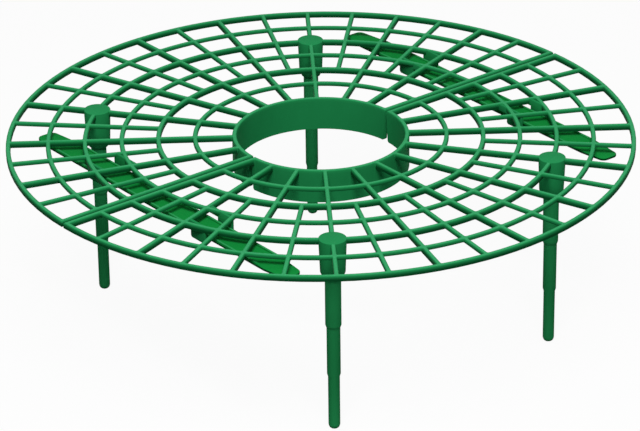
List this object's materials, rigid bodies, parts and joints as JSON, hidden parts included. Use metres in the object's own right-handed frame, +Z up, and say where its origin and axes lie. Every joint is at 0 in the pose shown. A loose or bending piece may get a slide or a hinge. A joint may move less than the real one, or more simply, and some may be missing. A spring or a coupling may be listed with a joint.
{
  "type": "strawberry plant support",
  "caption": "Round openwork grid in two halves with a central collar, held together by joining bars underneath and raised on legs, to keep fruit and leaves off the soil.",
  "frame": {"origin": "on the ground under the middle of the collar", "axes": "+Z up; X along the line where the two halves meet, +X to the right; +Y towards the rear half"},
  "size_m": [0.302, 0.302, 0.098],
  "materials": {
    "grid": "moulded green polypropylene with a soft sheen",
    "bar": "moulded green polypropylene, brighter and warmer than the grid",
    "leg": "moulded green polypropylene, darker than the grid"
  },
  "bodies": {
    "rear_half": {"rear_half_disc": "grid"},
    "front_half": {"front_half_disc": "grid"},
    "left_bar": {"left_joining_bar": "bar"},
    "right_bar": {"right_joining_bar": "bar"},
    "rear_left_post": {"rear_left_leg": "leg"},
    "rear_right_post": {"rear_right_leg": "leg"},
    "front_left_post": {"front_left_leg": "leg"},
    "front_right_post": {"front_right_leg": "leg"}
  },
  "joints": [
    {"name": "front_half_slide", "type": "slide", "parent": "rear_half", "child": "front_half", "axis": [0, -1, 0], "range_m": [0, 0.066]},
    {"name": "left_bar_slide", "type": "slide", "parent": "rear_half", "child": "left_bar", "axis": [0, 1, 0], "range_m": [-0.058, 0.146]},
    {"name": "right_bar_slide", "type": "slide", "parent": "rear_half", "child": "right_bar", "axis": [0, 1, 0], "range_m": [-0.058, 0.146]},
    {"name": "rear_left_leg_pull", "type": "slide", "parent": "rear_half", "child": "rear_left_post", "axis": [0, 0, -1], "range_m": [0, 0.0159]},
    {"name": "rear_right_leg_pull", "type": "slide", "parent": "rear_half", "child": "rear_right_post", "axis": [0, 0, -1], "range_m": [0, 0.0159]},
    {"name": "front_left_leg_pull", "type": "slide", "parent": "front_half", "child": "front_left_post", "axis": [0, 0, -1], "range_m": [0, 0.0159]},
    {"name": "front_right_leg_pull", "type": "slide", "parent": "front_half", "child": "front_right_post", "axis": [0, 0, -1], "range_m": [0, 0.0159]}
  ]
}
